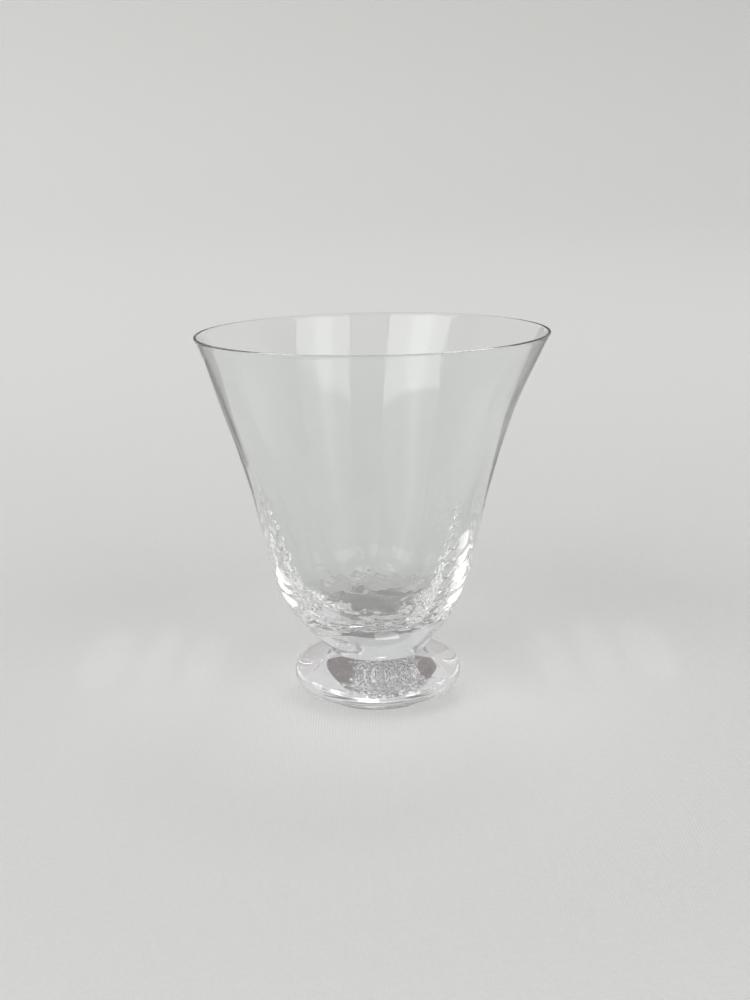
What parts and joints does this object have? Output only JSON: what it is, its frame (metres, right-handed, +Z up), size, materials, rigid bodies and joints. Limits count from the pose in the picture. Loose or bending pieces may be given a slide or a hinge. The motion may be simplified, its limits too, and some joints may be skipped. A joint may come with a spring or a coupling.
{
  "type": "drinking glass",
  "caption": "Clear flared tumbler: thin smooth bowl with soft optic panels inside and a heavy solid bottom, fused to a solid bun-shaped foot that it stands on.",
  "frame": {"origin": "centre of the flat resting face under the foot, level with the table", "axes": "+Z up along the axis that the glass is turned about; +Y away from the picture's viewer; +X to the viewer's right"},
  "size_m": [0.094, 0.094, 0.101],
  "materials": {
    "bowl_glass": "clear, fire-polished",
    "foot_glass": "clear, fire-polished"
  },
  "bodies": {
    "root": {"bowl": "bowl_glass", "foot": "foot_glass"}
  },
  "joints": []
}
